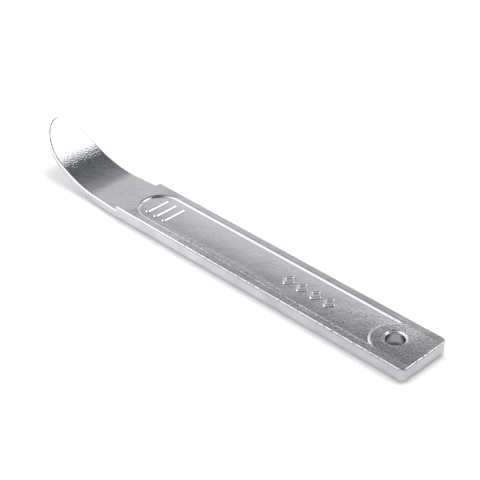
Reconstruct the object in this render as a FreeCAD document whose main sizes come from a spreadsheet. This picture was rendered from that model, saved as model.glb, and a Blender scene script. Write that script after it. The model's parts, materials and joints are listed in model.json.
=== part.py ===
"""Tyre lever: one drop forging with a hanging hole, a recessed panel and a curved spoon.

The row frame is in millimetres. X runs along the bar, with the hanging hole towards +X and the
spoon's tip at the lowest X. Y runs across the bar. Z is up, and the flat underside lies on Z = 0.
The origin is the middle of the plan length, on the underside.
"""
import FreeCAD, Part
import math
import os

import Sketcher

Vector = FreeCAD.Vector
Rotation = FreeCAD.Rotation
Placement = FreeCAD.Placement

START, END, CENTRE = 1, 2, 3
ROOT = (-1, 1)
CLEARANCE = 2.0
WIDE_BEND_STEPS = 4
CLOSE_BEND_STEPS = 5
MOST_ROUNDING = 0.4  # of the spoon's thickness, for its lower corners

DIMENSIONS = {
    # the bar
    "overall_length": 200.0,
    "bar_length": 148.6,
    "bar_width": 25.0,
    "bar_height": 6.4,
    "corner_radius": 2.2,
    "lower_edge_radius": 2.0,
    "upper_edge_radius": 0.35,
    # the hanging hole and the level ground round it
    "hole_radius": 3.75,
    "hole_inset": 13.5,
    "hole_rim_radius": 0.45,
    "ground_radius": 8.3,
    "ground_half_angle": 52.0,
    # the recessed panel on the upper face
    "panel_half_width": 9.7,
    "panel_depth": 0.65,
    "panel_wall_slope": 40.0,
    "panel_end_margin": 4.1,
    # the thumb-grip ribs that stand in the panel
    "rib_length": 12.2,
    "rib_width": 2.0,
    "rib_height": 0.6,
    "rib_pitch": 4.7,
    "rib_count": 3,
    "first_rib_inset": 11.5,
    # the row of lozenges that stand in the panel
    "lozenge_length": 5.6,
    "lozenge_width": 7.6,
    "lozenge_line": 1.2,
    "lozenge_height": 0.55,
    "lozenge_pitch": 6.7,
    "lozenge_count": 4,
    "first_lozenge_inset": 64.5,
    # the spoon: a flat run, a wide bend and a closer bend, measured along its upper face
    "shoulder_drop": 2.05,
    "flat_run": 13.9,
    "wide_bend_radius": 50.7,
    "wide_bend_angle": 25.65,
    "close_bend_radius": 36.7,
    "close_bend_angle": 31.5,
    "first_bend_thickness": 4.05,
    "mid_bend_thickness": 3.0,
    "tip_thickness": 1.4,
    "spoon_width": 21.2,
    "spoon_round_length": 16.9,
    "spoon_nose_radius": 9.0,
}


def make_sheet(doc):
    """Put every driving dimension in the document's spreadsheet, one alias to a row."""
    sheet = doc.addObject("Spreadsheet::Sheet", "Dimensions")
    for row, (alias, value) in enumerate(DIMENSIONS.items(), start=1):
        sheet.set("A%d" % row, alias)
        sheet.set("B%d" % row, str(value))
        sheet.setAlias("B%d" % row, alias)
    doc.recompute()
    return sheet


# ---------------------------------------------------------------- sketch helpers

def new_sketch(body, name, role, offset=Placement()):
    """A sketch attached to one of the body's origin planes, moved by the offset placement."""
    plane = next(feature for feature in body.Origin.OriginFeatures if feature.Role == role)
    sketch = body.newObject("Sketcher::SketchObject", name)
    sketch.AttachmentSupport = [(plane, "")]
    sketch.MapMode = "FlatFace"
    sketch.AttachmentOffset = offset
    return sketch


def add_loop(sketch, edges, smooth=()):
    """Add the edges of a closed loop in order and join the ends that meet.

    The joint after each edge numbered in smooth is tangent. Returns the first edge's index.
    """
    first = sketch.GeometryCount
    sketch.addGeometry(edges, False)
    for step in range(len(edges)):
        here = first + step
        following = first + (step + 1) % len(edges)
        kind = "Tangent" if step in smooth else "Coincident"
        for leaving in (START, END):
            for entering in (START, END):
                if sketch.getPoint(here, leaving).isEqual(sketch.getPoint(following, entering), 1e-6):
                    sketch.addConstraint(
                        Sketcher.Constraint(kind, here, leaving, following, entering))
    return first


def add_size(sketch, name, expression, kind, *places):
    """Add a named dimension to the sketch, drawn at its size already, and drive it from the sheet."""
    sketch.addConstraint(Sketcher.Constraint(kind, *places))
    sketch.renameConstraint(sketch.ConstraintCount - 1, name)
    sketch.setExpression("Constraints." + name, expression)


def place_point(sketch, name, point, across, up):
    """Hold a sketch point at signed distances from the sketch's origin, each given by the sheet."""
    spot = sketch.getPoint(*point)
    add_size(sketch, name + "_across", across, "DistanceX", *ROOT, *point, spot.x)
    if up is None:
        sketch.addConstraint(Sketcher.Constraint("PointOnObject", *point, -1))
    else:
        add_size(sketch, name + "_up", up, "DistanceY", *ROOT, *point, spot.y)


def polygon(points):
    """Line segments round a closed list of plan points."""
    corners = [Vector(x, y, 0) for x, y in points]
    return [Part.LineSegment(a, b) for a, b in zip(corners, corners[1:] + corners[:1])]


def arc(centre, radius, start_degrees, end_degrees):
    """A circular arc run anticlockwise between two directions."""
    circle = Part.Circle(Vector(*centre, 0), Vector(0, 0, 1), radius)
    return Part.ArcOfCircle(circle, math.radians(start_degrees), math.radians(end_degrees))


def polar(centre, radius, degrees):
    """The point at a radius and direction from a centre."""
    angle = math.radians(degrees)
    return (centre[0] + radius * math.cos(angle), centre[1] + radius * math.sin(angle))


def line(start, end):
    """A line segment between two plan points."""
    return Part.LineSegment(Vector(*start, 0), Vector(*end, 0))


# ---------------------------------------------------------------- feature helpers

def pad(body, name, sketch, height):
    """Raise a sketch by a height that the sheet gives."""
    feature = body.newObject("PartDesign::Pad", name)
    feature.Profile = sketch
    feature.setExpression("Length", height)
    return feature


def pocket_down(body, name, sketch, depth=None):
    """Cut a sketch downwards to a depth, or through the whole body when none is given."""
    feature = body.newObject("PartDesign::Pocket", name)
    feature.Profile = sketch
    if depth is None:
        feature.Type = "ThroughAll"
        feature.Midplane = True
    else:
        feature.setExpression("Length", depth)
    return feature


def row_of(body, name, original, pitch, count):
    """Repeat a feature in a row along +X."""
    pattern = body.newObject("PartDesign::LinearPattern", name)
    pattern.Originals = [original]
    x_axis = next(feature for feature in body.Origin.OriginFeatures if feature.Role == "X_Axis")
    pattern.Direction = (x_axis, [""])
    pattern.Mode = "Spacing"
    pattern.setExpression("Offset", pitch)
    pattern.setExpression("Occurrences", count)
    body.Tip = pattern
    return pattern


def round_edges(body, name, base, radius, wanted):
    """Round each edge of the base feature that the test picks out."""
    picked = ["Edge%d" % (index + 1) for index, edge in enumerate(base.Shape.Edges) if wanted(edge)]
    if not picked:
        raise RuntimeError("no edges to round for " + name)
    feature = body.newObject("PartDesign::Fillet", name)
    feature.Base = (base, picked)
    feature.setExpression("Radius", radius)
    return feature


def lies_at_height(edge, height):
    """Whether the whole edge is at this height."""
    box = edge.BoundBox
    return abs(box.ZMin - height) < 1e-4 and abs(box.ZMax - height) < 1e-4


# ---------------------------------------------------------------- the forging's features

def make_bar(doc, body, size):
    """The bar's block, with rounded corners at the hole end and a rounded lower edge."""
    half_length = size.overall_length / 2
    half_width = size.bar_width / 2
    shoulder = half_length - size.bar_length
    sketch = new_sketch(body, "bar_plan", "XY_Plane")
    corners = ((shoulder, -half_width), (half_length, -half_width),
               (half_length, half_width), (shoulder, half_width))
    first = add_loop(sketch, polygon(corners))
    for step, kind in enumerate(("Horizontal", "Vertical", "Horizontal", "Vertical")):
        sketch.addConstraint(Sketcher.Constraint(kind, first + step))
    place_point(sketch, "near_shoulder", (first, START),
                "Dimensions.overall_length / 2 - Dimensions.bar_length", "-Dimensions.bar_width / 2")
    place_point(sketch, "far_end", (first + 2, START),
                "Dimensions.overall_length / 2", "Dimensions.bar_width / 2")
    bar = pad(body, "bar", sketch, "Dimensions.bar_height")
    doc.recompute()

    def is_end_corner(edge):
        box = edge.BoundBox
        return box.ZLength > size.bar_height / 2 and box.XMin > half_length - 1
    rounded = round_edges(body, "end_corners", bar, "Dimensions.corner_radius", is_end_corner)
    doc.recompute()

    def is_lower_edge(edge):
        return lies_at_height(edge, 0) and edge.BoundBox.XMax > shoulder + 1
    round_edges(body, "lower_edges", rounded, "Dimensions.lower_edge_radius", is_lower_edge)
    doc.recompute()


def spoon_stations(size):
    """Stations along the spoon's upper face: X, Z, tilt in degrees and arc length from the shoulder."""
    start_x = size.overall_length / 2 - size.bar_length
    start_z = size.bar_height - size.shoulder_drop
    wide, close = size.wide_bend_radius, size.close_bend_radius
    bends_x = start_x - size.flat_run
    stations = [(start_x, start_z, 0.0, 0.0), ((start_x + bends_x) / 2, start_z, 0.0, size.flat_run / 2)]
    for step in range(WIDE_BEND_STEPS + 1):
        tilt = size.wide_bend_angle * step / WIDE_BEND_STEPS
        angle = math.radians(tilt)
        stations.append((bends_x - wide * math.sin(angle), start_z + wide * (1 - math.cos(angle)),
                         tilt, size.flat_run + wide * angle))
    knee_x, knee_z, knee_tilt, knee_run = stations[-1]
    knee = math.radians(knee_tilt)
    for step in range(1, CLOSE_BEND_STEPS + 1):
        tilt = knee_tilt + size.close_bend_angle * step / CLOSE_BEND_STEPS
        angle = math.radians(tilt)
        stations.append((knee_x - close * (math.sin(angle) - math.sin(knee)),
                         knee_z + close * (math.cos(knee) - math.cos(angle)),
                         tilt, knee_run + close * (angle - knee)))
    return stations


def blend(position, knots):
    """Straight-line blend between (position, value) pairs."""
    for (low, low_value), (high, high_value) in zip(knots, knots[1:]):
        if position <= high:
            return low_value + (high_value - low_value) * (position - low) / (high - low)
    return knots[-1][1]


def spoon_section(body, size, number, station, thickness, half_width):
    """One cross-section of the spoon: flat above, with its lower corners rounded."""
    x, z, tilt, run = station
    offset = Placement(Vector(0, z, x), Rotation(Vector(1, 0, 0), tilt))
    sketch = new_sketch(body, "spoon_section_%d" % number, "YZ_Plane", offset)
    rounding = min(size.lower_edge_radius, MOST_ROUNDING * thickness)
    inner = half_width - rounding
    low = -thickness
    add_loop(sketch, [
        line((-half_width, 0), (-half_width, low + rounding)),
        arc((-inner, low + rounding), rounding, 180, 270),
        line((-inner, low), (inner, low)),
        arc((inner, low + rounding), rounding, 270, 360),
        line((half_width, low + rounding), (half_width, 0)),
        line((half_width, 0), (-half_width, 0)),
    ], smooth=(0, 1, 2, 3))
    return sketch


def make_spoon(doc, body, size):
    """The spoon: a loft through its sections, which thin and narrow towards the tip."""
    stations = spoon_stations(size)
    knee_run = size.flat_run + size.wide_bend_radius * math.radians(size.wide_bend_angle)
    end_run = stations[-1][3]
    shoulder_thickness = size.bar_height - size.shoulder_drop
    thickness_knots = [(0.0, shoulder_thickness), (size.flat_run, size.first_bend_thickness),
                       (knee_run, size.mid_bend_thickness), (end_run, size.tip_thickness)]
    width_knots = [(0.0, size.bar_width / 2), (knee_run, size.spoon_width / 2),
                   (end_run, size.spoon_width / 2)]
    sections = []
    for number, station in enumerate(stations, start=1):
        thickness = blend(station[3], thickness_knots)
        half_width = blend(station[3], width_knots)
        sections.append(spoon_section(body, size, number, station, thickness, half_width))
    doc.recompute()
    loft = body.newObject("PartDesign::AdditiveLoft", "spoon")
    loft.Profile = sections[0]
    loft.Sections = sections[1:]
    loft.Ruled = False
    doc.recompute()


def trim_spoon_tip(doc, body, size):
    """Round the spoon's end in plan: a nose arc between two tangent side arcs."""
    tip_x = -size.overall_length / 2
    half_width = size.spoon_width / 2
    start_x = tip_x + size.spoon_round_length
    nose = size.spoon_nose_radius
    nose_offset = size.spoon_round_length - nose
    side = (nose_offset ** 2 + half_width ** 2 - nose ** 2) / (2 * (half_width - nose))
    lean = math.degrees(math.atan2(side - half_width, nose_offset))
    outside_x = tip_x - CLEARANCE
    outside_y = size.bar_width / 2 + CLEARANCE
    upper_start = (start_x, half_width)
    lower_start = (start_x, -half_width)
    sketch = new_sketch(body, "spoon_tip_plan", "XY_Plane")
    add_loop(sketch, [
        line(upper_start, (start_x, outside_y)),
        line((start_x, outside_y), (outside_x, outside_y)),
        line((outside_x, outside_y), (outside_x, -outside_y)),
        line((outside_x, -outside_y), (start_x, -outside_y)),
        line((start_x, -outside_y), lower_start),
        arc((start_x, side - half_width), side, 180 + lean, 270),
        arc((start_x - nose_offset, 0), nose, 180 - lean, 180 + lean),
        arc((start_x, half_width - side), side, 90, 180 - lean),
    ])
    doc.recompute()
    pocket_down(body, "spoon_tip_trim", sketch)
    doc.recompute()


def make_panel(doc, body, size):
    """The recessed panel: round at the spoon end, and hollowed round the hole's level ground."""
    shoulder = size.overall_length / 2 - size.bar_length
    half_width = size.panel_half_width
    round_centre = (shoulder + size.panel_end_margin + half_width, 0)
    hole_centre = (size.overall_length / 2 - size.hole_inset, 0)
    spread = size.ground_half_angle
    ground_top = polar(hole_centre, size.ground_radius, 180 - spread)
    ground_low = polar(hole_centre, size.ground_radius, 180 + spread)
    reach = (half_width - ground_top[1]) / math.cos(math.radians(spread))
    point_x = ground_top[0] + reach * math.sin(math.radians(spread))
    sketch = new_sketch(body, "panel_plan", "XY_Plane",
                        Placement(Vector(0, 0, size.bar_height), Rotation()))
    first = add_loop(sketch, [
        arc(round_centre, half_width, 90, 270),
        line((round_centre[0], -half_width), (point_x, -half_width)),
        line((point_x, -half_width), ground_low),
        arc(hole_centre, size.ground_radius, 180 - spread, 180 + spread),
        line(ground_top, (point_x, half_width)),
        line((point_x, half_width), (round_centre[0], half_width)),
    ])
    place_point(sketch, "round_centre", (first, CENTRE),
                "Dimensions.overall_length / 2 - Dimensions.bar_length"
                " + Dimensions.panel_end_margin + Dimensions.panel_half_width", None)
    place_point(sketch, "hole_centre", (first + 3, CENTRE),
                "Dimensions.overall_length / 2 - Dimensions.hole_inset", None)
    add_size(sketch, "end_radius", "Dimensions.panel_half_width", "Radius", first, half_width)
    add_size(sketch, "ground_radius", "Dimensions.ground_radius", "Radius", first + 3,
             size.ground_radius)
    doc.recompute()
    panel = pocket_down(body, "panel", sketch, "Dimensions.panel_depth")
    panel.setExpression("TaperAngle", "-Dimensions.panel_wall_slope")
    doc.recompute()


def make_ribs(doc, body, size):
    """The thumb-grip ribs: a round-ended bar across the panel, repeated in a row."""
    first_x = size.overall_length / 2 - size.bar_length + size.first_rib_inset
    half_width = size.rib_width / 2
    half_run = size.rib_length / 2 - half_width
    floor = size.bar_height - size.panel_depth
    sketch = new_sketch(body, "rib_plan", "XY_Plane", Placement(Vector(0, 0, floor), Rotation()))
    first = add_loop(sketch, [
        line((first_x + half_width, -half_run), (first_x + half_width, half_run)),
        arc((first_x, half_run), half_width, 0, 180),
        line((first_x - half_width, half_run), (first_x - half_width, -half_run)),
        arc((first_x, -half_run), half_width, 180, 360),
    ], smooth=(0, 1, 2, 3))
    centre = "Dimensions.overall_length / 2 - Dimensions.bar_length + Dimensions.first_rib_inset"
    run = "(Dimensions.rib_length - Dimensions.rib_width) / 2"
    place_point(sketch, "upper_centre", (first + 1, CENTRE), centre, run)
    place_point(sketch, "lower_centre", (first + 3, CENTRE), centre, "-" + run)
    add_size(sketch, "end_radius", "Dimensions.rib_width / 2", "Radius", first + 1, half_width)
    rib = pad(body, "rib", sketch, "Dimensions.rib_height")
    doc.recompute()
    row_of(body, "ribs", rib, "Dimensions.rib_pitch", "Dimensions.rib_count")
    doc.recompute()


def make_lozenges(doc, body, size):
    """The ornament: a raised lozenge outline in the panel, repeated in a row."""
    centre_x = size.overall_length / 2 - size.first_lozenge_inset
    half_length = size.lozenge_length / 2
    half_width = size.lozenge_width / 2
    inward = size.lozenge_line * math.hypot(half_length, half_width)
    inner_length = half_length - inward / half_width
    inner_width = half_width - inward / half_length
    floor = size.bar_height - size.panel_depth
    sketch = new_sketch(body, "lozenge_plan", "XY_Plane", Placement(Vector(0, 0, floor), Rotation()))
    for across, up in ((half_length, half_width), (inner_length, inner_width)):
        add_loop(sketch, polygon(((centre_x + across, 0), (centre_x, up),
                                  (centre_x - across, 0), (centre_x, -up))))
    lozenge = pad(body, "lozenge", sketch, "Dimensions.lozenge_height")
    doc.recompute()
    row_of(body, "lozenges", lozenge, "Dimensions.lozenge_pitch", "Dimensions.lozenge_count")
    doc.recompute()


def make_hanging_hole(doc, body, size):
    """The hanging hole, straight through the bar, with both rims rounded."""
    centre_x = size.overall_length / 2 - size.hole_inset
    sketch = new_sketch(body, "hole_plan", "XY_Plane")
    sketch.addGeometry(Part.Circle(Vector(centre_x, 0, 0), Vector(0, 0, 1), size.hole_radius), False)
    place_point(sketch, "hole_centre", (0, CENTRE),
                "Dimensions.overall_length / 2 - Dimensions.hole_inset", None)
    add_size(sketch, "hole_radius", "Dimensions.hole_radius", "Radius", 0, size.hole_radius)
    doc.recompute()
    hole = pocket_down(body, "hanging_hole", sketch)
    doc.recompute()

    def is_rim(edge):
        curve = edge.Curve
        return (isinstance(curve, Part.Circle) and abs(curve.Radius - size.hole_radius) < 1e-6
                and abs(curve.Center.x - centre_x) < 1e-6 and edge.BoundBox.ZLength < 1e-4)
    round_edges(body, "hole_rims", hole, "Dimensions.hole_rim_radius", is_rim)
    doc.recompute()


def round_upper_edges(doc, body, size):
    """Ease the bar's outer upper edges, round the hole end and along both sides."""
    half_width = size.bar_width / 2
    half_length = size.overall_length / 2

    def is_upper_outline(edge):
        box = edge.BoundBox
        beside = box.YMax > half_width - 1e-3 or box.YMin < -half_width + 1e-3
        return lies_at_height(edge, size.bar_height) and (beside or box.XMax > half_length - 1e-3)
    round_edges(body, "upper_edges", body.Tip, "Dimensions.upper_edge_radius", is_upper_outline)
    doc.recompute()


def make_lever_forging(doc, size):
    """The whole forging, from the bar's block to its eased edges."""
    body = doc.addObject("PartDesign::Body", "lever_forging")
    body.Label = "lever_forging"
    body.Placement = Placement()
    make_bar(doc, body, size)
    make_spoon(doc, body, size)
    trim_spoon_tip(doc, body, size)
    make_panel(doc, body, size)
    make_ribs(doc, body, size)
    make_lozenges(doc, body, size)
    make_hanging_hole(doc, body, size)
    round_upper_edges(doc, body, size)
    return body


# ---------------------------------------------------------------- checks and output

def check_document(doc):
    """Stop if any object of the document failed to recompute."""
    failed = [item.Name for item in doc.Objects if set(item.State) & {"Invalid", "Error"}]
    if failed:
        raise RuntimeError("failed objects: " + ", ".join(failed))


def write_step(body):
    """Write the body's one solid to its file, once it is known to be sound."""
    shape = body.Shape
    if shape.isNull() or not shape.isValid() or len(shape.Solids) != 1:
        raise RuntimeError(body.Label + " is not one sound solid")
    shape.exportStep("parts/%s.step" % body.Label)
    box = shape.BoundBox
    print("%s: %.2f x %.2f x %.2f mm, %.2f cm3, X %.2f to %.2f" % (
        body.Label, box.XLength, box.YLength, box.ZLength, shape.Volume / 1000, box.XMin, box.XMax))


def main():
    doc = FreeCAD.newDocument("tyre_lever")
    size = make_sheet(doc)
    body = make_lever_forging(doc, size)
    doc.recompute()
    check_document(doc)
    os.makedirs("parts", exist_ok=True)
    write_step(body)


main()
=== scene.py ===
"""Plated tyre lever: a flat forged bar with a recessed grip panel, a hanging hole and an upturned spoon."""
import json
import math
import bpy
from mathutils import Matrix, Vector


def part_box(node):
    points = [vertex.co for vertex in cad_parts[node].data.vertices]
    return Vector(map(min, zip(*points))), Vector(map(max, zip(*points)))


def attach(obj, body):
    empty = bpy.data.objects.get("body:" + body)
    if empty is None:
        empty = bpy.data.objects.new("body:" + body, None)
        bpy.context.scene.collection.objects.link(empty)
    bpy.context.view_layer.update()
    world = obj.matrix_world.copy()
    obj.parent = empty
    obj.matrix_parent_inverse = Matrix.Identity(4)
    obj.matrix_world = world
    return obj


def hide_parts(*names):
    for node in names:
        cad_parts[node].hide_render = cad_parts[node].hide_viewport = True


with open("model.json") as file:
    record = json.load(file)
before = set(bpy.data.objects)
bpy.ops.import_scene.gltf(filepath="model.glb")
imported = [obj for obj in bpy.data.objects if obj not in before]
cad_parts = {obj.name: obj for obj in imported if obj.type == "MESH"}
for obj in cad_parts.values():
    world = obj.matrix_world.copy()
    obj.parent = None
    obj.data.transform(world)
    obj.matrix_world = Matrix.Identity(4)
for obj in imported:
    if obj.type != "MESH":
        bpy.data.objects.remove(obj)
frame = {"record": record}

from types import SimpleNamespace

import bmesh
import bpy
from mathutils import Matrix, Vector, noise

bl_info = {
    "name": "Tyre Lever",
    "version": (1, 0, 0),
    "blender": (4, 5, 0),
    "location": "3D View > Sidebar > Lever",
    "description": "Builds a plated, forged tyre lever and the studio it lies in",
    "category": "Add Mesh",
}

NODE = "lever_forging"
BODY = "root"
METRES = 0.001
LOW, HIGH = [Vector(corner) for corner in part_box(NODE)]
HOLE = next(mount for mount in frame["record"]["mounts"] if mount["name"] == "hanging_hole")
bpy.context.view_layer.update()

RELIEF = "relief"       # vertex layer: rise of the panel, ribs and lozenges, in millimetres
INSET = "inset"         # vertex layer: distance inside the outline, in millimetres
HOLE_DISC = 1           # mark on the faces that cover the hanging hole until it is opened


# ---------------------------------------------------------------- settings

def length(name, description, millimetres):
    """A length property whose default is given in millimetres."""
    return bpy.props.FloatProperty(name=name, description=description, default=millimetres * METRES,
                                   subtype="DISTANCE", unit="LENGTH", precision=5)


def angle(name, description, degrees):
    """An angle property whose default is given in degrees."""
    return bpy.props.FloatProperty(name=name, description=description,
                                   default=math.radians(degrees), subtype="ANGLE", unit="ROTATION")


def amount(name, description, default):
    """A plain number."""
    return bpy.props.FloatProperty(name=name, description=description, default=default, precision=3)


def colour(name, description, default):
    """A linear colour."""
    return bpy.props.FloatVectorProperty(name=name, description=description, default=default,
                                         subtype="COLOR", size=3, min=0.0, max=1.0)


def in_millimetres(group):
    """The group's lengths in millimetres, and its other values as they are."""
    values = {}
    for name in group.__annotations__:
        value = getattr(group, name)
        is_length = group.bl_rna.properties[name].unit == "LENGTH"
        values[name] = value / METRES if is_length else value
    return SimpleNamespace(**values)


class LeverBarSettings(bpy.types.PropertyGroup):
    bar_length: length("Bar length", "From the hole end to the shoulder", 148.6)
    bar_height: length("Bar height", "Height of the bar over the surface it lies on", 6.4)
    corner_radius: length("Corner radius", "Plan radius of the two corners at the hole end", 2.2)
    upper_edge: length("Upper edge radius", "Rounding of the upper outline", 0.5)
    lower_edge: length("Lower edge radius", "Rounding of the lower outline", 2.0)
    hole_rim: length("Hole rim radius", "Rounding of the hanging hole's rims", 0.45)
    ripple: length("Ripple", "Height of the uneven waves that the dies leave", 0.035)


class LeverPanelSettings(bpy.types.PropertyGroup):
    half_width: length("Half width", "From the middle of the bar to the panel's side", 9.7)
    depth: length("Depth", "Depth of the panel's floor under the rim", 0.65)
    wall_slope: angle("Wall slope", "Steepness of the panel's walls", 45.0)
    end_margin: length("End margin", "From the shoulder to the panel's round end", 4.1)
    ground_radius: length("Ground radius", "Level ground left round the hanging hole", 8.3)
    ground_spread: angle("Ground spread", "Half angle of the ground's arc", 52.0)
    ground_ease: amount("Ground ease", "How much gentler the ground's wall is than the panel's", 1.1)
    tip_radius: length("Tip radius", "Rounding of the panel's two points beside the ground", 0.5)
    rib_length: length("Rib length", "Length of a thumb-grip rib, across the bar", 12.5)
    rib_width: length("Rib width", "Width of a thumb-grip rib at its foot", 2.1)
    rib_height: length("Rib height", "Height of a rib over the panel's floor", 0.6)
    rib_pitch: length("Rib pitch", "Distance from one rib to the next", 4.7)
    rib_inset: length("Rib inset", "From the shoulder to the first rib", 11.5)
    rib_count: bpy.props.IntProperty(name="Ribs", description="Number of ribs", default=3, min=1)
    lozenge_length: length("Lozenge length", "Length of a lozenge along the bar", 5.7)
    lozenge_width: length("Lozenge width", "Width of a lozenge across the bar", 7.8)
    lozenge_line: length("Lozenge line", "Width of a lozenge's raised line at its foot", 1.3)
    lozenge_corner: length("Lozenge corner", "Rounding of a lozenge's four corners", 0.75)
    lozenge_height: length("Lozenge height", "Height of a lozenge over the panel's floor", 0.55)
    lozenge_pitch: length("Lozenge pitch", "Distance from one lozenge to the next", 6.7)
    lozenge_inset: length("Lozenge inset", "From the hole end to the first lozenge", 64.5)
    lozenge_count: bpy.props.IntProperty(name="Lozenges", description="Number of lozenges",
                                         default=4, min=1)


class LeverSpoonSettings(bpy.types.PropertyGroup):
    drop: length("Shoulder drop", "Step down from the bar's upper face to the spoon's", 2.05)
    shoulder_run: length("Shoulder run", "Length that the step takes along the bar", 0.9)
    shoulder_corner: length("Shoulder corner", "Plan radius of the step's two corners", 1.5)
    flat_run: length("Flat run", "Straight stretch of the spoon after the shoulder", 13.7)
    wide_radius: length("Wide bend radius", "Radius of the first bend, on the upper face", 50.7)
    wide_angle: angle("Wide bend angle", "Turn of the first bend", 25.65)
    close_radius: length("Close bend radius", "Radius of the second bend, on the upper face", 36.7)
    close_angle: angle("Close bend angle", "Turn of the second bend", 31.5)
    bend_thickness: length("Bend thickness", "Thickness where the first bend starts", 4.1)
    knee_thickness: length("Knee thickness", "Thickness where the two bends meet", 3.0)
    lip_thickness: length("Lip thickness", "Thickness at the tip", 1.4)
    lip_ease: length("Lip ease", "How far the spoon's face falls away at its outline", 0.12)
    lip_ease_width: length("Lip ease width", "Width of the strip that falls away", 0.9)
    end_half_width: length("End half width", "Half width where the round end starts", 10.6)
    round_length: length("Round length", "Length of the round end along the face", 21.45)
    roundness: amount("Roundness", "Fullness of the round end; 2 is an ellipse", 2.09)


class LeverFinishSettings(bpy.types.PropertyGroup):
    plate: colour("Plate", "Colour of the bright plating", (0.63, 0.63, 0.65))
    # Worn colour for thin plating, also used as a painted shade on upright faces.
    worn: colour("Worn plate", "Colour where the plating is thin", (0.46, 0.46, 0.475))
    # Painted shade inside the hanging hole, and the darker colour of the pits.
    shaded: colour("Thin plate", "Colour inside the hole and the pits, where the bath hardly plates",
                   (0.17, 0.17, 0.175))
    roughness: amount("Roughness", "Roughness of the brightest plating", 0.1)
    peel: length("Peel depth", "Depth of the plating's orange peel", 0.014)
    pebble: length("Pebble depth", "Depth of the coarse grain that the scale leaves", 0.1)
    pits: length("Pit depth", "Depth of the sharp pits among the coarse grain", 0.08)
    grain: length("Grain depth", "Depth of the fine grain on the bent spoon", 0.05)
    crown: length("Crown", "Rise of the slightly convex upper face across the bar", 0.22)


class LeverStageSettings(bpy.types.PropertyGroup):
    heading: angle("Heading", "Camera's direction round the lever", 44.24)
    elevation: angle("Elevation", "Camera's height over the horizon", 33.81)
    roll: angle("Roll", "Turn of the camera about its own axis", 0.48)
    distance: length("Distance", "From the camera to the point it looks at", 545.25)
    lens: bpy.props.FloatProperty(name="Lens", description="Focal length in millimetres",
                                  default=105.15)
    floor: colour("Floor", "Colour of the table", (0.8, 0.8, 0.8))


# ---------------------------------------------------------------- plan outlines, in millimetres

def arc_points(centre, radius, start, end, steps):
    """Points round an arc, ends included."""
    turn = (end - start) / steps
    return [(centre[0] + radius * math.cos(start + turn * step),
             centre[1] + radius * math.sin(start + turn * step)) for step in range(steps + 1)]


def round_corner(before, corner, after, radius, steps):
    """Points of the arc that rounds a corner between its two neighbours."""
    here = Vector(corner)
    back = (Vector(before) - here).normalized()
    on = (Vector(after) - here).normalized()
    half = back.angle(on) / 2
    centre = here + (back + on).normalized() * (radius / math.sin(half))
    reach = radius / math.tan(half)
    start = here + back * reach - centre
    end = here + on * reach - centre
    turn = start.angle_signed(end)
    points = []
    for step in range(steps + 1):
        spoke = start.copy()
        spoke.rotate(Matrix.Rotation(-turn * step / steps, 2))
        points.append(tuple(centre + spoke))
    return points


def round_polygon(corners, radius, steps):
    """A closed polygon with every corner rounded."""
    points = []
    for index, corner in enumerate(corners):
        following = corners[(index + 1) % len(corners)]
        points += round_corner(corners[index - 1], corner, following, radius, steps)
    return points


def blank_outline(bar, spoon, place):
    """The flat blank's outline, before the spoon is bent, run anticlockwise from the near shoulder."""
    half = place.half_width
    corners = ((place.shoulder, -half), (place.hole_end, -half), (place.hole_end, half),
               (place.shoulder, half))
    points = [corners[0]]
    points += round_corner(corners[0], corners[1], corners[2], bar.corner_radius, 8)
    points += round_corner(corners[1], corners[2], corners[3], bar.corner_radius, 8)
    points.append(corners[3])
    round_start = place.shoulder - place.spoon_run + spoon.round_length
    steps = 64
    for step in range(steps + 1):
        turn = math.pi * step / steps
        reach = spoon.round_length * math.sin(turn) ** (2 / spoon.roundness)
        points.append((round_start - reach, spoon.end_half_width * math.cos(turn)))
    return points


def panel_outline(panel, place, inset):
    """The panel's outline, inset: a round end, straight sides and a hollow round the hole's ground."""
    half = panel.half_width - inset
    radius = panel.ground_radius + inset * panel.ground_ease
    spread = panel.ground_spread
    ground_x = place.hole_x - radius * math.cos(spread)
    ground_y = radius * math.sin(spread)
    point_x = ground_x + (half - ground_y) * math.tan(spread)
    tip = max(panel.tip_radius - inset, 0.1)
    round_centre = (place.shoulder + panel.end_margin + panel.half_width, 0)
    points = arc_points(round_centre, half, math.radians(90), math.radians(270), 40)
    points += round_corner(points[-1], (point_x, -half), (ground_x, -ground_y), tip, 6)
    ground = arc_points((place.hole_x, 0), radius, math.pi + spread, math.pi - spread, 28)
    points += ground
    points += round_corner(ground[-1], (point_x, half), points[0], tip, 6)
    return points


def rib_outline(panel, centre_x, inset):
    """A round-ended rib across the panel, inset."""
    radius = panel.rib_width / 2 - inset
    run = (panel.rib_length - panel.rib_width) / 2
    return (arc_points((centre_x, run), radius, 0, math.pi, 12)
            + arc_points((centre_x, -run), radius, math.pi, 2 * math.pi, 12))


def lozenge_outline(panel, centre_x, inset):
    """A lozenge with rounded corners, inset from its foot."""
    across = panel.lozenge_length / 2
    up = panel.lozenge_width / 2
    slant = inset * math.hypot(across, up)
    reach, rise = across - slant / up, up - slant / across
    corners = ((centre_x + reach, 0), (centre_x, rise), (centre_x - reach, 0), (centre_x, -rise))
    return round_polygon(corners, panel.lozenge_corner - inset / 2, 5)


# ---------------------------------------------------------------- wall profiles

def round_over(radius, steps):
    """(inset, rise) points that round a wall's top over into a level face."""
    points = []
    for step in range(1, steps + 1):
        turn = math.radians(90) * step / steps
        points.append((radius * (1 - math.cos(turn)), radius * math.sin(turn)))
    return points


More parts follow.
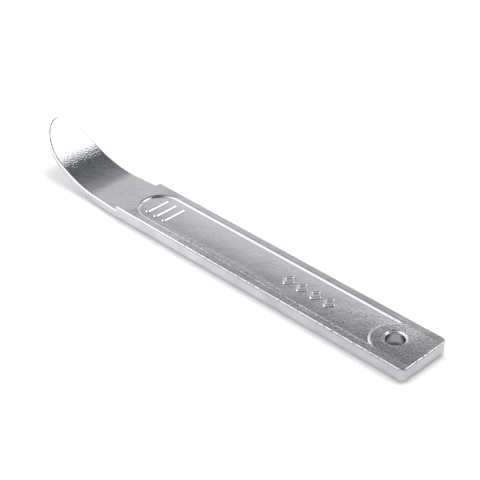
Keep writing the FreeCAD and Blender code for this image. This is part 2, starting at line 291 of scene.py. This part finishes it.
def sloped_wall(height, slope, first_radius, last_radius, hold, steps=4):
    """(inset, rise) points of a sloped wall between two level faces, eased at both ends.

    A narrow level strip of width hold at each end keeps the neighbouring faces flat.
    """
    sign = math.copysign(1.0, height)
    ease = 1 - math.cos(slope)
    straight = (abs(height) - (first_radius + last_radius) * ease) / math.sin(slope)
    points = [(0.0, 0.0), (hold, 0.0)]
    for step in range(1, steps + 1):
        turn = slope * step / steps
        points.append((hold + first_radius * math.sin(turn),
                       sign * first_radius * (1 - math.cos(turn))))
    offset = points[-1][0] + straight * math.cos(slope)
    rise = points[-1][1] + sign * straight * math.sin(slope)
    points.append((offset, rise))
    for step in range(1, steps + 1):
        turn = slope * (1 - step / steps)
        points.append((offset + last_radius * (math.sin(slope) - math.sin(turn)),
                       rise + sign * last_radius * (math.cos(turn) - math.cos(slope))))
    points.append((points[-1][0] + hold, points[-1][1]))
    return points


# ---------------------------------------------------------------- mesh steps

def draw_loop(mesh, points, rise=0.0):
    """A closed loop of vertices through plan points, remembering their rise in the relief layer."""
    layer = mesh.verts.layers.float[RELIEF]
    loop = [mesh.verts.new((x, y, 0)) for x, y in points]
    for corner in loop:
        corner[layer] = rise
    for here, following in zip(loop, loop[1:] + loop[:1]):
        mesh.edges.new((here, following))
    return loop


def loop_edges(mesh, *loops):
    """The edges along these loops of vertices."""
    return [mesh.edges.get((here, following)) for loop in loops
            for here, following in zip(loop, loop[1:] + loop[:1])]


def face_up(mesh, faces):
    """Turn the faces so that they look up."""
    for face in faces:
        face.normal_update()
    bmesh.ops.reverse_faces(mesh, faces=[face for face in faces if face.normal.z < 0])


def fill_loops(mesh, *loops, mark=0):
    """Level faces between the given loops."""
    filled = bmesh.ops.triangle_fill(mesh, use_beauty=True, edges=loop_edges(mesh, *loops),
                                     normal=(0, 0, 1))
    faces = [item for item in filled["geom"] if isinstance(item, bmesh.types.BMFace)]
    for face in faces:
        face.material_index = mark
    face_up(mesh, faces)


def draw_wall(mesh, outline, profile, base=0.0):
    """A wall along an outline: a ring for each (inset, rise) of the profile, joined by faces.

    The outline is a function of the inset. The first and the last ring are returned.
    """
    rings = [draw_loop(mesh, outline(inset), base + rise) for inset, rise in profile]
    faces = []
    for ring, inner in zip(rings, rings[1:]):
        for index in range(len(ring)):
            faces.append(mesh.faces.new((ring[index - 1], ring[index], inner[index], inner[index - 1])))
    face_up(mesh, faces)
    return rings[0], rings[-1]


def level_faces(mesh, upper, mark=None):
    """The level faces of the upper or the lower side, all of them or just the marked ones."""
    return [face for face in mesh.faces
            if (face.normal.z if upper else -face.normal.z) > 0.5
            and (mark is None or face.material_index == mark)]


def inset_steps(mesh, faces, profile):
    """Inset a level region step by step along an (inset, rise) profile; rises go outwards."""
    layer = mesh.verts.layers.float[INSET]
    outwards = math.copysign(1.0, faces[0].normal.z)
    inset_done, rise_done = 0.0, 0.0
    for inset, rise in profile:
        ring = bmesh.ops.inset_region(mesh, faces=faces, thickness=inset - inset_done,
                                      use_boundary=True, use_even_offset=True)["faces"]
        for face in ring:
            face.material_index = 0
        corners = list({vertex for face in faces for vertex in face.verts})
        bmesh.ops.translate(mesh, verts=corners, vec=(0, 0, (rise - rise_done) * outwards))
        for corner in corners:
            corner[layer] = inset
        inset_done, rise_done = inset, rise


def slice_across(mesh, axis, places):
    """Cut every face along planes across an axis, so the surface can bend and ripple there."""
    for place in places:
        point = Vector((0, 0, 0))
        point[axis] = place
        normal = Vector((0, 0, 0))
        normal[axis] = 1
        everything = mesh.verts[:] + mesh.edges[:] + mesh.faces[:]
        bmesh.ops.bisect_plane(mesh, geom=everything, dist=0.01, plane_co=point, plane_no=normal)


def spaced(start, end, pitch):
    """Evenly spaced places strictly between two ends, no further apart than the pitch."""
    count = math.ceil(abs(end - start) / pitch)
    return [start + (end - start) * step / count for step in range(1, count)]


# ---------------------------------------------------------------- the spoon's bend

EASE_START = 0.35       # parts of the bar's height between which the lip's ease grows from none to full
EASE_REACH = 0.55


def blend(position, knots):
    """The value at a position, straight between (position, value) pairs."""
    for (low, low_value), (high, high_value) in zip(knots, knots[1:]):
        if position <= high:
            return low_value + (high_value - low_value) * (position - low) / (high - low)
    return knots[-1][1]


def spoon_curve(spoon, run):
    """The bent upper face at a run from the shoulder: distance along X, rise and tilt."""
    if run <= spoon.flat_run:
        return run, 0.0, 0.0
    knee_run = spoon.flat_run + spoon.wide_radius * spoon.wide_angle
    if run <= knee_run:
        tilt = (run - spoon.flat_run) / spoon.wide_radius
        return (spoon.flat_run + spoon.wide_radius * math.sin(tilt),
                spoon.wide_radius * (1 - math.cos(tilt)), tilt)
    knee = spoon.wide_angle
    tilt = knee + (run - knee_run) / spoon.close_radius
    along = spoon.flat_run + spoon.wide_radius * math.sin(knee)
    rise = spoon.wide_radius * (1 - math.cos(knee))
    return (along + spoon.close_radius * (math.sin(tilt) - math.sin(knee)),
            rise + spoon.close_radius * (math.cos(knee) - math.cos(tilt)), tilt)


def shoulder_fall(spoon, place, x, y):
    """How far down the shoulder's step a point is, from 0 on the bar to 1 on the spoon."""
    corner = spoon.shoulder_corner
    past_corner = max(0.0, abs(y) - (place.half_width - corner))
    setback = corner - math.sqrt(max(0.0, corner ** 2 - past_corner ** 2))
    part = (place.shoulder + setback - x) / spoon.shoulder_run
    part = min(max(part, 0.0), 1.0)
    return part * part * (3 - 2 * part)


def spoon_depth(bar, thickness, depth):
    """Depth under the spoon's upper face; the upper edge keeps its rounding where the metal thins."""
    if depth <= bar.upper_edge:
        return depth
    return bar.upper_edge + ((thickness - bar.upper_edge) * (depth - bar.upper_edge)
                             / (bar.bar_height - bar.upper_edge))


def shape_spoon(mesh, bar, spoon, place):
    """Step the shoulder down, thin the spoon towards its lip, ease its outline and bend it up."""
    face_height = bar.bar_height - spoon.drop
    knee_run = spoon.flat_run + spoon.wide_radius * spoon.wide_angle
    knots = ((0.0, face_height), (spoon.flat_run, spoon.bend_thickness),
             (knee_run, spoon.knee_thickness), (place.spoon_run, spoon.lip_thickness))
    layer = mesh.verts.layers.float[INSET]
    for vertex in mesh.verts:
        x, y, z = vertex.co
        part = z / bar.bar_height
        run = place.shoulder - x
        if run <= 0:
            vertex.co.z = part * (bar.bar_height - spoon.drop * shoulder_fall(spoon, place, x, y))
            continue
        along, rise, tilt = spoon_curve(spoon, run)
        depth = spoon_depth(bar, blend(run, knots), bar.bar_height - z)
        upper = min(max((part - EASE_START) / EASE_REACH, 0.0), 1.0)
        edge = max(0.0, 1 - vertex[layer] / spoon.lip_ease_width)
        depth += spoon.lip_ease * edge * edge * upper * min(run / spoon.flat_run, 1.0)
        step_left = (1 - shoulder_fall(spoon, place, x, y)) * spoon.drop * part
        vertex.co.x = place.shoulder - along - depth * math.sin(tilt)
        vertex.co.z = face_height + rise - depth * math.cos(tilt) + step_left


WIDE_WAVES = 0.11       # waves per millimetre
CLOSE_WAVES = 0.32
CLOSE_SHARE = 0.45
CLOSE_OFFSET = Vector((40, 7, 3))


def ripple_surface(mesh, bar):
    """Move the points above the underside a little, as a forging's skin is never quite flat."""
    mesh.normal_update()
    moves = []
    for vertex in mesh.verts:
        wide = noise.noise(vertex.co * WIDE_WAVES)
        close = noise.noise(vertex.co * CLOSE_WAVES + CLOSE_OFFSET)
        share = min(vertex.co.z / bar.lower_edge, 1.0)
        moves.append(vertex.normal * bar.ripple * share * (wide + CLOSE_SHARE * close))
    for vertex, move in zip(mesh.verts, moves):
        vertex.co += move


# ---------------------------------------------------------------- the lever

# Each wall: radius of its first and last easing and width of the level strips beside it, in millimetres.
PANEL_WALL = (1.5, 0.2, 0.05)
RIB_WALL = (0.12, 0.4, 0.04)
LOZENGE_WALL = (0.12, 0.3, 0.02)
RIB_SLOPE = math.radians(58)
LOZENGE_SLOPE = math.radians(62)
HOLE_STEPS = 48
UPPER_STRIPS = (0.2, 0.5, 0.8, 1.1)
LOWER_STRIP = 0.12

# Distances between the cuts that let the blank bend and ripple, in millimetres.
SPOON_PITCH = 0.8
SHOULDER_PITCH = 0.12
BAR_PITCH = 1.25
WALL_PITCH = 0.7
WALL_GAP = 0.2
EDGE_GAPS = (0.5, 0.75, 1.1)


def lever_places(bar, spoon):
    """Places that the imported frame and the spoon's bends give, in millimetres."""
    hole_end = HIGH.x / METRES
    bends = spoon.wide_radius * spoon.wide_angle + spoon.close_radius * spoon.close_angle
    return SimpleNamespace(
        hole_end=hole_end,
        half_width=HIGH.y / METRES,
        shoulder=hole_end - bar.bar_length,
        spoon_run=spoon.flat_run + bends,
        hole_x=HOLE["pos_m"][0] / METRES,
        hole_radius=HOLE["dims"]["r_mm"],
    )


def draw_blank(mesh, bar, panel, spoon, place):
    """The blank's upper side seen from above: rim, hole, sunk panel, ribs and lozenges."""
    outline = draw_loop(mesh, blank_outline(bar, spoon, place))
    rim_radius = place.hole_radius + bar.hole_rim
    circle = arc_points((place.hole_x, 0), rim_radius, 0, 2 * math.pi, HOLE_STEPS)
    hole = draw_loop(mesh, circle[:-1])
    wall = sloped_wall(-panel.depth, panel.wall_slope, *PANEL_WALL)
    brink, foot = draw_wall(mesh, lambda inset: panel_outline(panel, place, inset), wall)
    fill_loops(mesh, outline, brink, hole)
    fill_loops(mesh, hole, mark=HOLE_DISC)
    feet = [foot]
    rib_wall = sloped_wall(panel.rib_height, RIB_SLOPE, *RIB_WALL)
    for index in range(panel.rib_count):
        centre_x = place.shoulder + panel.rib_inset + panel.rib_pitch * index
        rib_foot, crest = draw_wall(mesh, lambda inset: rib_outline(panel, centre_x, inset),
                                    rib_wall, -panel.depth)
        fill_loops(mesh, crest)
        feet.append(rib_foot)
    slope = sloped_wall(panel.lozenge_height, LOZENGE_SLOPE, *LOZENGE_WALL)
    far_side = [(panel.lozenge_line - inset, rise) for inset, rise in reversed(slope)]
    for index in range(panel.lozenge_count):
        centre_x = place.hole_end - panel.lozenge_inset + panel.lozenge_pitch * index
        outer, inner = draw_wall(mesh, lambda inset: lozenge_outline(panel, centre_x, inset),
                                 slope + far_side, -panel.depth)
        fill_loops(mesh, inner)
        feet.append(outer)
    fill_loops(mesh, *feet)


def raise_blank(mesh, bar):
    """Give the blank its height, round its outlines and press the relief into its upper side."""
    sheet = mesh.faces[:]
    bmesh.ops.translate(mesh, verts=mesh.verts[:], vec=(0, 0, bar.bar_height - bar.upper_edge))
    copy = bmesh.ops.extrude_face_region(mesh, geom=sheet, use_keep_orig=True)["geom"]
    lower = [item for item in copy if isinstance(item, bmesh.types.BMVert)]
    drop = bar.bar_height - bar.upper_edge - bar.lower_edge
    bmesh.ops.translate(mesh, verts=lower, vec=(0, 0, -drop))
    bmesh.ops.recalc_face_normals(mesh, faces=mesh.faces[:])
    for face in mesh.faces:
        if abs(face.normal.z) < 0.5:
            face.material_index = 0
    upper_edge = round_over(bar.upper_edge, 4)
    upper_edge += [(bar.upper_edge + strip, bar.upper_edge) for strip in UPPER_STRIPS]
    inset_steps(mesh, level_faces(mesh, True), upper_edge)
    lower_edge = round_over(bar.lower_edge, 8)
    lower_edge.append((bar.lower_edge + LOWER_STRIP, bar.lower_edge))
    inset_steps(mesh, level_faces(mesh, False), lower_edge)
    layer = mesh.verts.layers.float[RELIEF]
    for vertex in mesh.verts:
        if vertex.co.z > bar.bar_height / 2:
            vertex.co.z += vertex[layer]


def open_hole(mesh, bar):
    """Round the hanging hole's two rims and join them through the bar."""
    rim = [(bar.hole_rim - rise, -(bar.hole_rim - offset))
           for offset, rise in reversed(round_over(bar.hole_rim, 6)[:-1])]
    rim.append((bar.hole_rim, -bar.hole_rim))
    loops = []
    for upper in (True, False):
        disc = level_faces(mesh, upper, HOLE_DISC)
        inset_steps(mesh, disc, rim)
        inside = set(disc)
        loops += [edge for edge in {edge for face in disc for edge in face.edges}
                  if any(face not in inside for face in edge.link_faces)]
        bmesh.ops.delete(mesh, geom=disc, context="FACES_ONLY")
    spare = [edge for edge in mesh.edges if not edge.link_faces and edge not in set(loops)]
    bmesh.ops.delete(mesh, geom=spare, context="EDGES")
    bmesh.ops.bridge_loops(mesh, edges=loops)


def slice_lever(mesh, bar, spoon, place):
    """Cut the blank finely enough to bend, to step down and to ripple."""
    tip = place.shoulder - place.spoon_run
    step_start = place.shoulder + spoon.shoulder_corner
    step_end = place.shoulder - spoon.shoulder_run
    lengthwise = spaced(tip, step_end, SPOON_PITCH) + [step_end, step_start]
    lengthwise += spaced(step_end, step_start, SHOULDER_PITCH)
    lengthwise += spaced(step_start, place.hole_end, BAR_PITCH)
    slice_across(mesh, 0, lengthwise)
    corner = place.half_width - spoon.shoulder_corner
    across = spaced(-corner, corner, BAR_PITCH) + [-corner, corner]
    for side in (-1, 1):
        across += [side * (place.half_width - gap) for gap in EDGE_GAPS]
    slice_across(mesh, 1, across)
    top = bar.bar_height - bar.upper_edge
    upright = [bar.lower_edge + WALL_GAP, top - WALL_GAP]
    slice_across(mesh, 2, upright + spaced(bar.lower_edge, top, WALL_PITCH))


def build_lever(bar, panel, spoon):
    """The whole forging as one closed mesh, in metres."""
    place = lever_places(bar, spoon)
    mesh = bmesh.new()
    mesh.verts.layers.float.new(RELIEF)
    mesh.verts.layers.float.new(INSET)
    draw_blank(mesh, bar, panel, spoon, place)
    raise_blank(mesh, bar)
    open_hole(mesh, bar)
    slice_lever(mesh, bar, spoon, place)
    shape_spoon(mesh, bar, spoon, place)
    bmesh.ops.recalc_face_normals(mesh, faces=mesh.faces[:])
    ripple_surface(mesh, bar)
    bmesh.ops.scale(mesh, vec=(METRES, METRES, METRES), verts=mesh.verts[:])
    for face in mesh.faces:
        face.smooth = True
        face.material_index = 0
    return mesh


# ---------------------------------------------------------------- shader maths

class Wire:
    """A shader socket that can be used in arithmetic; each operation adds a Math node."""

    def __init__(self, tree, socket):
        self.tree = tree
        self.socket = socket

    def math(self, operation, *others):
        """A Math node on this socket and the others."""
        node = self.tree.node("ShaderNodeMath", {"operation": operation},
                              dict(enumerate((self,) + others)))
        return node(0)

    def __add__(self, other):
        return self.math("ADD", other)

    __radd__ = __add__

    def __sub__(self, other):
        return self.math("SUBTRACT", other)

    def __rsub__(self, other):
        return self.tree.number(other).math("SUBTRACT", self)

    def __mul__(self, other):
        return self.math("MULTIPLY", other)

    __rmul__ = __mul__

    def ramp(self, low, high):
        """0 below low, 1 above high, and smooth between."""
        node = self.tree.node("ShaderNodeMapRange", {"interpolation_type": "SMOOTHSTEP"},
                              {"Value": self, "From Min": low, "From Max": high})
        return node("Result")


class Tree:
    """A node tree and its one way of adding a node."""

    def __init__(self, tree):
        self.tree = tree
        tree.nodes.clear()

    def node(self, kind, settings=None, inputs=None):
        """Add a node with its settings, then its inputs; the result gives its outputs as wires."""
        made = self.tree.nodes.new(kind)
        for name, value in (settings or {}).items():
            setattr(made, name, value)
        for name, value in (inputs or {}).items():
            socket = made.inputs[name]
            if isinstance(value, Wire):
                self.tree.links.new(value.socket, socket)
            else:
                socket.default_value = value
        return lambda output: Wire(self, made.outputs[output])

    def number(self, value):
        """A plain number as a wire."""
        made = self.tree.nodes.new("ShaderNodeValue")
        made.outputs[0].default_value = value
        return Wire(self, made.outputs[0])

    def mix(self, factor, first, second):
        """A blend of two colours."""
        node = self.node("ShaderNodeMix", {"data_type": "RGBA"},
                         {0: factor, 6: first, 7: second})
        return node(2)

    def noise(self, place, scale, detail=2.0, roughness=0.5):
        """Cloudy noise at a place, about 0.5 on average."""
        node = self.node("ShaderNodeTexNoise", {},
                         {"Vector": place, "Scale": scale, "Detail": detail, "Roughness": roughness})
        return node("Fac")


def opaque(rgb):
    """A colour with full alpha."""
    return (*rgb, 1.0)


def new_material(name):
    """An empty node material and its tree."""
    material = bpy.data.materials.new(name)
    material.use_nodes = True
    return material, Tree(material.node_tree)


def plated_steel(finish):
    """Bright plating over an as-forged skin, in millimetres along and across the lever.

    Fine peel lies everywhere, coarse pitted grain towards the hole end and along the near rim, and fine
    grain on the bent spoon. The plating is duller on the coarse skin, and upright faces get a painted shade.
    The pits are coloured darker, and the inside of the hanging hole gets a painted shade.
    """
    material, tree = new_material("plated_steel")
    where = tree.node("ShaderNodeTexCoord")("Object")
    scaled = tree.node("ShaderNodeMapping", {}, {"Vector": where, "Scale": (1 / METRES,) * 3})("Vector")
    split = tree.node("ShaderNodeSeparateXYZ", {}, {"Vector": scaled})
    along, across, above = split("X"), split("Y"), split("Z")
    hole_x = HOLE["pos_m"][0] / METRES
    from_hole = ((along - hole_x).math("POWER", 2.0) + across.math("POWER", 2.0)).math("SQRT")
    # Upright faces, found by their normal, are given a painted shade further down.
    facing = tree.node("ShaderNodeSeparateXYZ", {},
                       {"Vector": tree.node("ShaderNodeNewGeometry")("Normal")})("Z")
    upright = 1 - facing.math("ABSOLUTE").ramp(0.1, 0.4)

    # The textures, by their waves per millimetre.
    patches = tree.noise(scaled, 0.07, 3.0)
    peel = tree.noise(scaled, 1.3, 2.0)
    pebble = tree.noise(scaled, 0.95, 3.0, 0.55)
    pits = tree.noise(scaled, 1.1, 2.0).ramp(0.35, 0.45)
    grain = tree.node("ShaderNodeTexVoronoi", {}, {"Vector": scaled, "Scale": 1.5})("Distance")

    # Where each of them lies.
    towards_hole = (along + patches * 40.0 - across * 2.2).ramp(62.0, 108.0)
    near_rim = (across * -1.0 + patches * 3.0).ramp(7.0, 11.0) * (along + 50.0).ramp(0.0, 60.0)
    on_top = above.ramp(5.25, 5.7)
    coarse = towards_hole.math("MAXIMUM", near_rim * 0.75) * on_top * 0.9 + 0.1
    coarse = coarse * (from_hole.ramp(3.9, 4.7) * 0.8 + 0.2)
    on_spoon = (along * -1.0).ramp(66.0, 76.0)
    on_bar = along.ramp(-44.0, -34.0)
    in_hole = 1 - from_hole.ramp(3.8, 4.2)
    crown = (across.math("ABSOLUTE").math("MINIMUM", 9.0) * (1 / 9.0)).math("POWER", 2.0)

    height = (peel * (finish.peel * METRES)
              + (pebble * (finish.pebble * METRES) + pits * (finish.pits * METRES)) * coarse
              + grain * on_spoon * (finish.grain * METRES)
              - crown * on_bar * (finish.crown * METRES))
    bump = tree.node("ShaderNodeBump", {}, {"Strength": 1.0, "Distance": 1.0, "Height": height})

    # Worn patches and duller plate on the coarse skin, plus a painted shade on upright faces that grows
    # towards the hole end.
    wear_and_side_shade = (patches * 0.5 + coarse * 0.6 + upright * (towards_hole * 0.14 + 0.28)).ramp(0.5, 0.85)
    bright = tree.mix(wear_and_side_shade, opaque(finish.plate), opaque(finish.worn))
    # Painted shade inside the hanging hole, and a darker colour in the pits of the coarse grain.
    hole_shade_and_dark_pits = (in_hole * 0.25).math("MAXIMUM", (1 - pits) * coarse * 0.8)
    tone = tree.mix(hole_shade_and_dark_pits, bright, opaque(finish.shaded))
    shine = patches.ramp(0.35, 0.7) * 0.05 + finish.roughness - on_spoon * 0.05
    surface = tree.node("ShaderNodeBsdfPrincipled", {},
                        {"Base Color": tone, "Metallic": 1.0, "Roughness": shine,
                         "Normal": bump("Normal")})
    tree.node("ShaderNodeOutputMaterial", {}, {"Surface": surface("BSDF")})
    return material


# ---------------------------------------------------------------- the studio

FLOOR_REACH = 3.0
FLOOR_GAP = 0.1 * METRES
FLOOR_GLOW = 0.06
SOFTBOX_DIRECTION = (-0.03, 0.19, 0.98)
SOFTBOX_DISTANCE = 1.3
SOFTBOX_SIZE = (0.55, 0.55)
SOFTBOX_POWER = 9.2
AIM = Vector((4.25, 5.5, -4.85)) * METRES       # from the middle of the lever's box


def make_floor(rgb):
    """A wide, pale, matt table, just under the lever, with a faint glow that keeps its shadows soft."""
    mesh = bmesh.new()
    bmesh.ops.create_grid(mesh, x_segments=1, y_segments=1, size=FLOOR_REACH)
    data = bpy.data.meshes.new("studio_floor")
    mesh.to_mesh(data)
    mesh.free()
    floor = bpy.data.objects.new("studio_floor", data)
    floor.location.z = -FLOOR_GAP
    bpy.context.scene.collection.objects.link(floor)
    material, tree = new_material("studio_floor")
    surface = tree.node("ShaderNodeBsdfPrincipled", {},
                        {"Base Color": opaque(rgb), "Roughness": 0.9, "Specular IOR Level": 0.1,
                         "Emission Color": opaque(rgb), "Emission Strength": FLOOR_GLOW})
    tree.node("ShaderNodeOutputMaterial", {}, {"Surface": surface("BSDF")})
    data.materials.append(material)


def make_softbox():
    """The overhead light that faces the lever and doesn't show in its reflections."""
    light = bpy.data.lights.new("overhead_softbox", "AREA")
    light.shape = "RECTANGLE"
    light.size, light.size_y = SOFTBOX_SIZE
    light.energy = SOFTBOX_POWER
    softbox = bpy.data.objects.new("overhead_softbox", light)
    towards = Vector(SOFTBOX_DIRECTION).normalized()
    softbox.location = towards * SOFTBOX_DISTANCE
    softbox.visible_glossy = False
    softbox.rotation_euler = towards.to_track_quat("Z", "Y").to_euler()
    bpy.context.scene.collection.objects.link(softbox)


def make_world():
    """The tent round the lever: a base glow with brighter and darker parts, set by direction.

    It is brightest in front and in a key panel at the back right, lighter low down at the left, and darker
    higher up. A light strip over a dark one runs low along the back.
    """
    world = bpy.data.worlds.new("studio_tent")
    world.use_nodes = True
    tree = Tree(world.node_tree)
    direction = tree.node("ShaderNodeTexCoord")("Generated")
    split = tree.node("ShaderNodeSeparateXYZ", {}, {"Vector": direction})
    x, y, z = split("X"), split("Y"), split("Z")

    # Parts of the tent, each from 0 to 1. The lever's level faces mirror the back at a height of 0.56.
    veil = z.ramp(0.545, 0.63)
    ceiling = z.ramp(0.68, 0.8)
    front = (x * -0.66 + y * -0.6 + z * 0.45).ramp(0.35, 0.9)
    key = (y.ramp(0.25, 0.4) - y.ramp(0.72, 0.82)) * x.ramp(-0.03, 0.05) * z.ramp(0.0, 0.15)
    behind = (x * -1.0).ramp(0.2, 0.6)
    left = (x * -1.0).ramp(0.58, 0.75)
    low = (z * -1.2 + 0.67).math("MAXIMUM", 0.0) * behind
    strip = z.ramp(0.24, 0.3) * (0.46 - z).ramp(0.0, 0.06) * y.ramp(0.55, 0.62)
    dark = (0.24 - z).ramp(0.0, 0.08) * y.ramp(0.6, 0.7)

    brightness = 0.78 + low * (1 - dark) - veil * 0.41 - ceiling * 0.21 + front * 1.35 + key * 1.5
    brightness = brightness + strip * 0.6 - dark * 0.45 - left * 0.12
    tint = tree.mix(ceiling - key - front, (1.0, 1.0, 1.0, 1.0), (0.9, 0.95, 1.0, 1.0))
    glow = tree.node("ShaderNodeBackground", {}, {"Color": tint, "Strength": brightness})
    tree.node("ShaderNodeOutputWorld", {}, {"Surface": glow("Background")})
    bpy.context.scene.world = world


def make_camera(stage):
    """The camera, aimed at the lever from the stage's heading and elevation."""
    heading, elevation, roll = stage.heading, stage.elevation, stage.roll
    back = Vector((math.sin(heading) * math.cos(elevation),
                   -math.cos(heading) * math.cos(elevation), math.sin(elevation)))
    right = Vector((math.cos(heading), math.sin(heading), 0))
    up = back.cross(right)
    turned_right = right * math.cos(roll) + up * math.sin(roll)
    turned_up = up * math.cos(roll) - right * math.sin(roll)
    middle = (LOW + HIGH) / 2
    target = middle + AIM
    camera = bpy.data.objects.new("camera", bpy.data.cameras.new("camera"))
    camera.data.lens = stage.lens
    camera.data.sensor_width = 36.0
    camera.data.clip_start = 0.01
    turn = Matrix((turned_right, turned_up, back)).transposed().to_4x4()
    camera.matrix_world = Matrix.Translation(target + back * stage.distance) @ turn
    bpy.context.scene.collection.objects.link(camera)
    bpy.context.scene.camera = camera


# ---------------------------------------------------------------- operators

class MESH_OT_tyre_lever(bpy.types.Operator):
    """Build the plated forging"""
    bl_idname = "mesh.tyre_lever"
    bl_label = "Tyre Lever"

    def execute(self, context):
        scene = context.scene
        bar = in_millimetres(scene.lever_bar)
        panel = in_millimetres(scene.lever_panel)
        spoon = in_millimetres(scene.lever_spoon)
        finish = in_millimetres(scene.lever_finish)
        mesh = build_lever(bar, panel, spoon)
        loose = [edge for edge in mesh.edges if len(edge.link_faces) != 2]
        if loose:
            raise RuntimeError("the lever's mesh isn't closed: %d edges" % len(loose))
        data = bpy.data.meshes.new("lever")
        mesh.to_mesh(data)
        mesh.free()
        lever = bpy.data.objects.new("lever", data)
        scene.collection.objects.link(lever)
        data.materials.append(plated_steel(finish))
        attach(lever, BODY)
        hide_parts(NODE)
        return {"FINISHED"}


class SCENE_OT_lever_stage(bpy.types.Operator):
    """Set the table, the lights and the camera"""
    bl_idname = "scene.lever_stage"
    bl_label = "Lever Stage"

    def execute(self, context):
        scene = context.scene
        settings = scene.lever_stage
        make_floor(settings.floor)
        make_world()
        make_softbox()
        make_camera(settings)
        scene.view_settings.view_transform = "Standard"
        return {"FINISHED"}


class VIEW3D_PT_tyre_lever(bpy.types.Panel):
    """The lever's settings and its two steps"""
    bl_label = "Tyre Lever"
    bl_space_type = "VIEW_3D"
    bl_region_type = "UI"
    bl_category = "Lever"

    def draw(self, context):
        for group_name in SETTINGS:
            group = getattr(context.scene, group_name)
            box = self.layout.box()
            for name in group.__annotations__:
                box.prop(group, name)
        self.layout.operator(MESH_OT_tyre_lever.bl_idname)
        self.layout.operator(SCENE_OT_lever_stage.bl_idname)


SETTINGS = {
    "lever_bar": LeverBarSettings,
    "lever_panel": LeverPanelSettings,
    "lever_spoon": LeverSpoonSettings,
    "lever_finish": LeverFinishSettings,
    "lever_stage": LeverStageSettings,
}
CLASSES = (*SETTINGS.values(), MESH_OT_tyre_lever, SCENE_OT_lever_stage, VIEW3D_PT_tyre_lever)


def register():
    for cls in CLASSES:
        bpy.utils.register_class(cls)
    for name, cls in SETTINGS.items():
        setattr(bpy.types.Scene, name, bpy.props.PointerProperty(type=cls))


def unregister():
    for name in SETTINGS:
        delattr(bpy.types.Scene, name)
    for cls in reversed(CLASSES):
        bpy.utils.unregister_class(cls)


def main():
    register()
    bpy.ops.mesh.tyre_lever()
    bpy.ops.scene.lever_stage()


if __name__ == "__main__":
    main()
